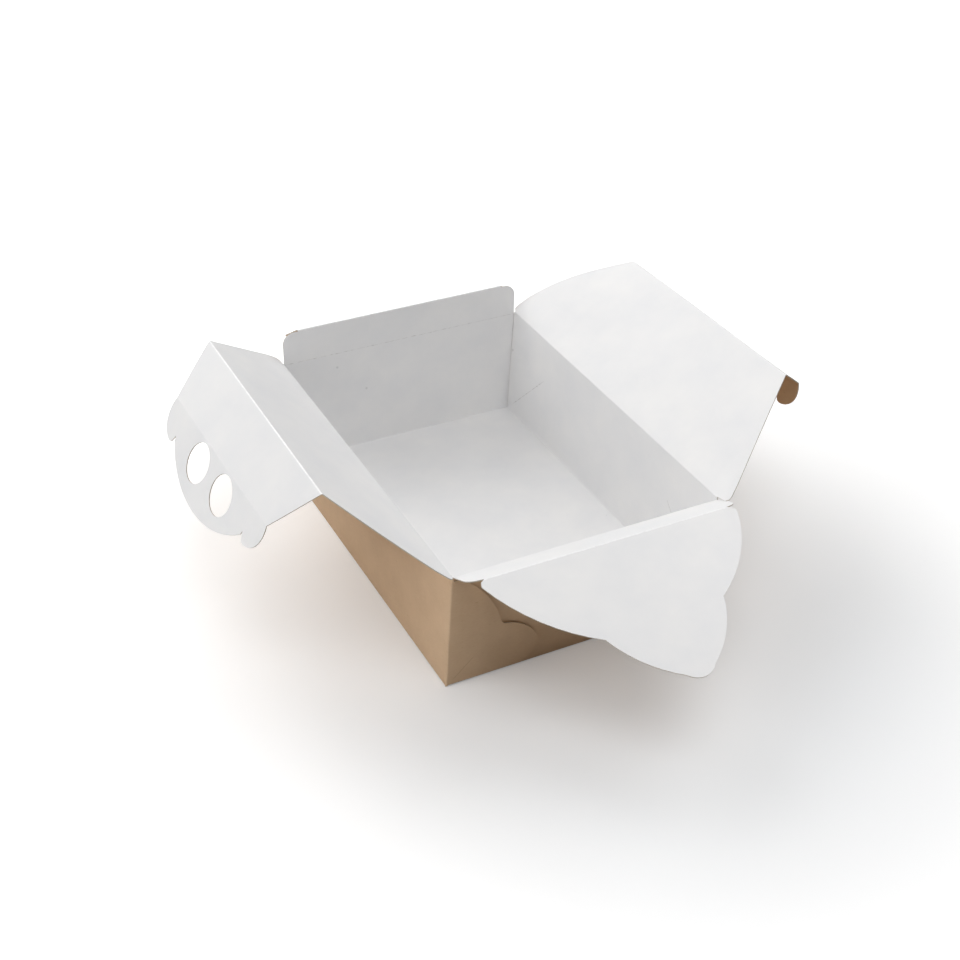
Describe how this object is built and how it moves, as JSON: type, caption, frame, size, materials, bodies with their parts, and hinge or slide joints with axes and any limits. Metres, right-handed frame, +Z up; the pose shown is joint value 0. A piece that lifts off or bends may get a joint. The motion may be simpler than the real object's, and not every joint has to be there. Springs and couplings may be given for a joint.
{
  "type": "pastry box",
  "caption": "Open pastry box folded from board: a deep tray, long roof flaps with folded finger-hole handles, and end flaps with tulip-shaped tongues.",
  "frame": {"origin": "centre of the underside of the tray, where it stands", "axes": "+Z up, +Y along the long side towards the flap that stands upright, +X across the tray towards the right long flap"},
  "size_m": [0.3217, 0.3841, 0.115],
  "materials": {
    "kraft_board": "matt brown kraft liner outside, white coating inside",
    "coated_board": "white coated face with a faint sheen, brown kraft behind"
  },
  "bodies": {
    "tray": {"tray": "kraft_board"},
    "left_flap": {"left_flap": "coated_board"},
    "right_flap": {"right_flap": "coated_board"},
    "front_flap": {"front_flap": "coated_board"},
    "front_tongue": {"front_tongue": "coated_board"},
    "back_flap": {"back_flap": "coated_board"},
    "back_tongue": {"back_tongue": "coated_board"}
  },
  "joints": [
    {"name": "left_flap_fold", "type": "hinge", "parent": "tray", "child": "left_flap", "pos_m": [-0.07475, 0, 0.068], "axis": [0, 1, 0], "range_deg": [-40, 136.5]},
    {"name": "right_flap_fold", "type": "hinge", "parent": "tray", "child": "right_flap", "pos_m": [0.07475, 0, 0.068], "axis": [0, -1, 0], "range_deg": [-34.5, 142]},
    {"name": "front_flap_fold", "type": "hinge", "parent": "tray", "child": "front_flap", "pos_m": [0, -0.10975, 0.067], "axis": [-1, 0, 0], "range_deg": [-27, 153]},
    {"name": "front_tongue_fold", "type": "hinge", "parent": "front_flap", "child": "front_tongue", "pos_m": [0, -0.12775, 0.07572], "axis": [-1, 0, 0], "range_deg": [-7.5, 42]},
    {"name": "back_flap_fold", "type": "hinge", "parent": "tray", "child": "back_flap", "pos_m": [0, 0.10975, 0.067], "axis": [1, 0, 0], "range_deg": [-20, 90]},
    {"name": "back_tongue_fold", "type": "hinge", "parent": "back_flap", "child": "back_tongue", "pos_m": [0, 0.11015, 0.087], "axis": [1, 0, 0], "range_deg": [-29.5, 130.5]}
  ],
  "couplings": [
    {"joint": "front_tongue_fold", "follows": "front_flap_fold", "ratio": 0.27124},
    {"joint": "back_tongue_fold", "follows": "back_flap_fold", "ratio": 1.4444}
  ]
}
